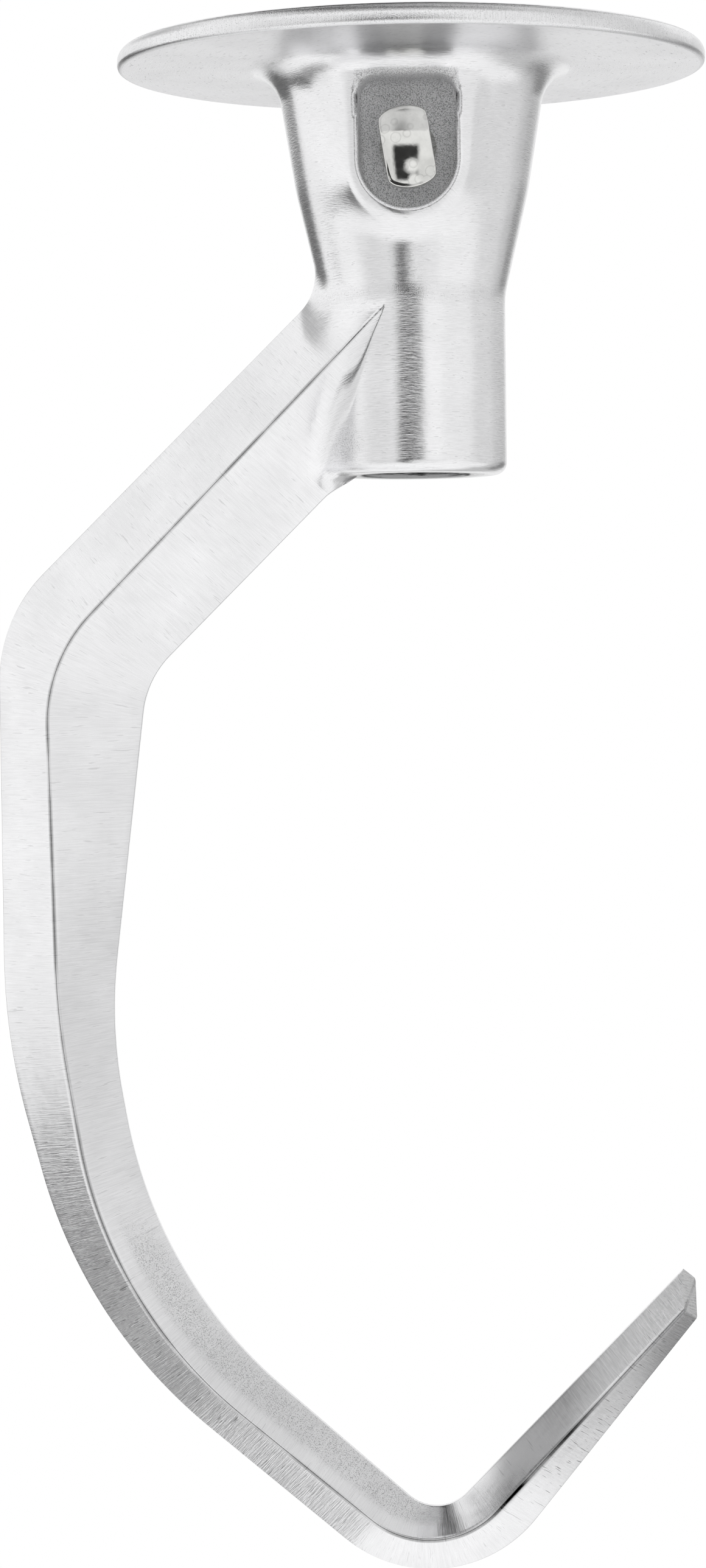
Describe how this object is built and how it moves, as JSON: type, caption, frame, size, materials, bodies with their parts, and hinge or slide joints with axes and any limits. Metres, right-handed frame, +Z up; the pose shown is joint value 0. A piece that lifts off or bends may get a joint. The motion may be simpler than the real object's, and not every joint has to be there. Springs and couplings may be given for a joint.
{
  "type": "stand mixer dough hook",
  "caption": "C-shaped dough hook with a disc guard, a bored hub with a drive pin, and a ridged blade that sweeps down to a heel and turns up to a ground tip.",
  "frame": {"origin": "centre of the shaft bore at the top face of the disc guard", "axes": "+Z up along the bore, the way the shaft leaves; the hook lies in the XZ plane with its bow to -X; the drive pin points to the front, -Y"},
  "size_m": [0.1549, 0.127, 0.3306],
  "materials": {
    "cast_aluminium": "cast, then belt ground and brushed, with a sandy cast pocket",
    "polished_steel": "polished, with faint water spots"
  },
  "bodies": {
    "root": {"hook_casting": "cast_aluminium", "drive_pin": "polished_steel"}
  },
  "joints": []
}
